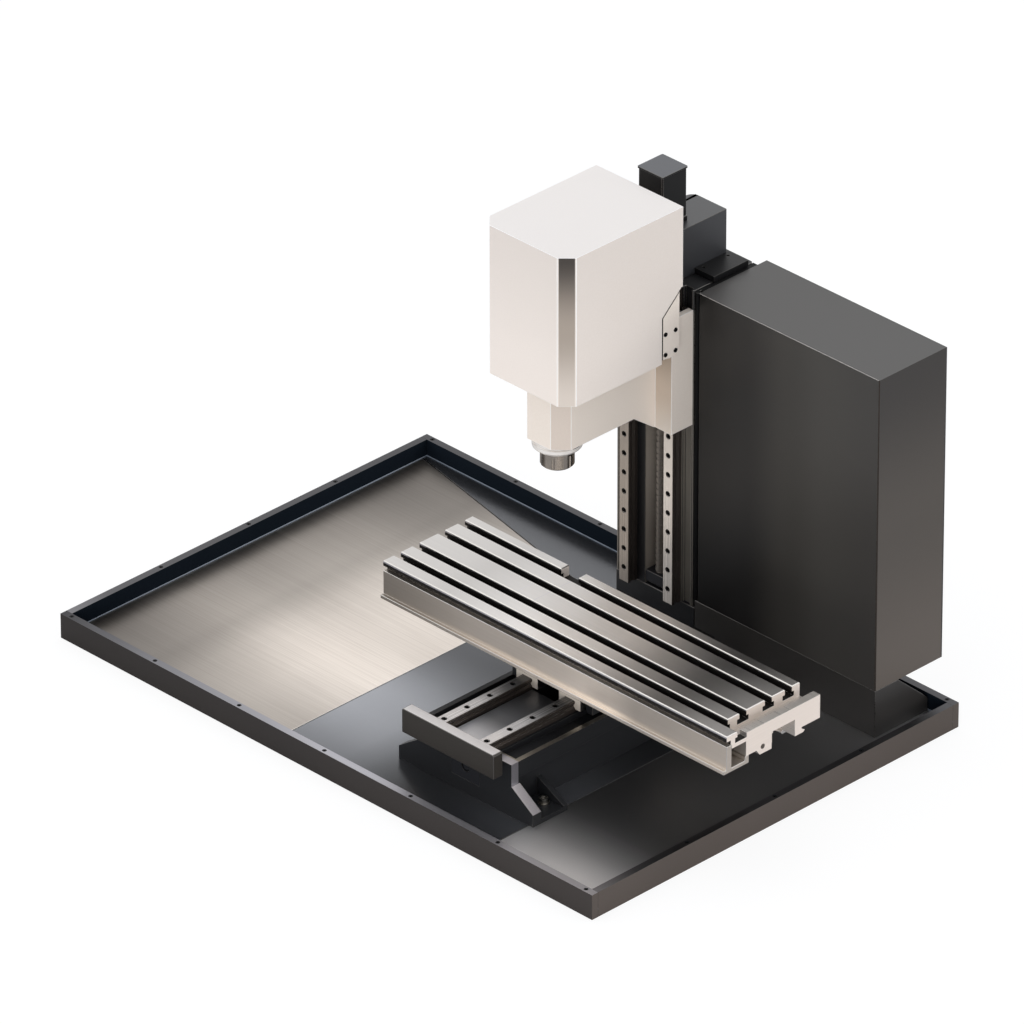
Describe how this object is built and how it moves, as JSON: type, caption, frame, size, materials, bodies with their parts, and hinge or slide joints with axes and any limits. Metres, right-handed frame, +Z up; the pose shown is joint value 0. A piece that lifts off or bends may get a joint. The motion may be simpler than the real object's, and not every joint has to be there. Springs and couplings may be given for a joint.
{
  "type": "cnc milling machine",
  "caption": "Bench milling machine: a slotted table on crossed linear rails, a covered spindle head on a column, and a tall cabinet, all standing on a wide chip tray.",
  "frame": {"origin": "centre of the chip tray's underside, where it rests on the bench", "axes": "+X along the tray's length towards the cabinet, +Y to the rear where the column stands, +Z up"},
  "size_m": [1.1615, 0.7665, 0.7745],
  "materials": {
    "tray_dark": "satin dark brown-black paint with worn pale edges",
    "floor_sheet": "satin charcoal paint",
    "deck_bright": "brushed along the tray's length",
    "deck_dark": "satin charcoal",
    "casting_dark": "satin paint over a machined casting",
    "column_metal": "satin gunmetal",
    "bar_metal": "satin warm grey",
    "rail_steel": "ground bright",
    "block_steel": "fine ground",
    "screw_steel": "rolled thread",
    "bearing_dark": "black oxide",
    "motor_black": "satin black",
    "table_metal": "fine milled, satin",
    "channel_metal": "satin, warm grey",
    "head_white": "smooth warm off-white paint",
    "cover_white": "smooth warm off-white paint",
    "cabinet_black": "satin black powder coat",
    "housing_grey": "satin dark grey",
    "strip_black": "matt black",
    "black_oxide": "black oxide",
    "zinc_screws": "zinc plated",
    "electronics": "grey sheet-metal boxes on a plate",
    "inlet_black": "moulded black",
    "spindle_steel": "turned bright",
    "nut_chrome": "polished",
    "pulley_metal": "turned",
    "belt_rubber": "matt black"
  },
  "bodies": {
    "base": {"tray_floor": "floor_sheet", "tray_rim": "tray_dark", "rim_screws": "black_oxide", "deck_plate_steel": "deck_bright", "deck_plate_centre": "deck_dark", "deck_plate_right": "deck_dark", "base_casting": "casting_dark", "foot_bolts": "zinc_screws", "front_bar": "bar_metal", "y_rail_left": "rail_steel", "y_rail_right": "rail_steel", "rail_screws": "black_oxide", "y_screw_bearings": "bearing_dark", "y_motor": "motor_black", "screw_cover": "bar_metal", "bridge_foot": "casting_dark", "column_base": "casting_dark", "cabinet_stand": "cabinet_black", "column": "column_metal", "side_strip": "strip_black", "z_rail_left": "rail_steel", "z_rail_right": "rail_steel", "z_screw_bearings": "bearing_dark", "z_motor": "motor_black", "motor_housing": "housing_grey", "cable_cover": "housing_grey", "cabinet_shell": "cabinet_black", "cabinet_back_panel": "cabinet_black", "cabinet_screws": "zinc_screws", "drive_electronics": "electronics", "power_inlet": "inlet_black"},
    "saddle": {"saddle_casting": "casting_dark", "y_blocks": "block_steel", "y_ball_nut": "block_steel", "x_blocks": "block_steel", "x_motor": "motor_black"},
    "x_nut": {"x_ball_nut": "block_steel"},
    "table": {"table_casting": "table_metal", "table_front_channel": "channel_metal", "x_rail_front": "rail_steel", "x_rail_rear": "rail_steel", "x_screw": "screw_steel"},
    "head": {"head_casting": "head_white", "z_blocks": "block_steel", "z_ball_nut": "block_steel", "head_cover": "cover_white", "cover_brackets": "head_white", "bracket_screws": "black_oxide", "spindle_housing": "spindle_steel", "spindle_motor": "motor_black", "spindle_belt": "belt_rubber"},
    "spindle": {"spindle_shaft": "spindle_steel", "spindle_pulley": "pulley_metal", "collet_nut": "nut_chrome", "collet": "spindle_steel"},
    "motor_rotor": {"motor_pulley": "pulley_metal"},
    "y_screw_body": {"y_screw": "screw_steel", "y_coupling": "screw_steel"},
    "z_screw_body": {"z_screw": "screw_steel", "z_coupling": "screw_steel"}
  },
  "joints": [
    {"name": "y_slide", "type": "slide", "parent": "base", "child": "saddle", "axis": [0, 1, 0], "range_m": [-0.04, 0.14]},
    {"name": "x_slide", "type": "slide", "parent": "saddle", "child": "table", "axis": [1, 0, 0], "range_m": [-0.26, 0.04]},
    {"name": "x_nut_turn", "type": "hinge", "parent": "saddle", "child": "x_nut", "pos_m": [0.192, -0.0535, 0.185], "axis": [1, 0, 0], "range_deg": [-1500, 9400]},
    {"name": "y_screw_turn", "type": "hinge", "parent": "base", "child": "y_screw_body", "pos_m": [0.192, 0, 0.056], "axis": [0, 1, 0], "range_deg": [-5100, 1500]},
    {"name": "z_slide", "type": "slide", "parent": "base", "child": "head", "axis": [0, 0, 1], "range_m": [-0.12, 0.025]},
    {"name": "z_screw_turn", "type": "hinge", "parent": "base", "child": "z_screw_body", "pos_m": [0.053, 0.2635, 0.4], "axis": [0, 0, 1], "range_deg": [-950, 4400]},
    {"name": "spindle_spin", "type": "hinge", "parent": "head", "child": "spindle", "pos_m": [0.053, 0.0505, 0.387], "axis": [0, 0, 1], "continuous": true},
    {"name": "motor_spin", "type": "hinge", "parent": "head", "child": "motor_rotor", "pos_m": [0.053, 0.1455, 0.54], "axis": [0, 0, 1], "continuous": true}
  ],
  "couplings": [
    {"joint": "x_nut_turn", "follows": "x_slide", "rad_per_m": -628.32},
    {"joint": "y_screw_turn", "follows": "y_slide", "rad_per_m": -628.32},
    {"joint": "z_screw_turn", "follows": "z_slide", "rad_per_m": -628.32},
    {"joint": "motor_spin", "follows": "spindle_spin", "ratio": 1.6154}
  ]
}
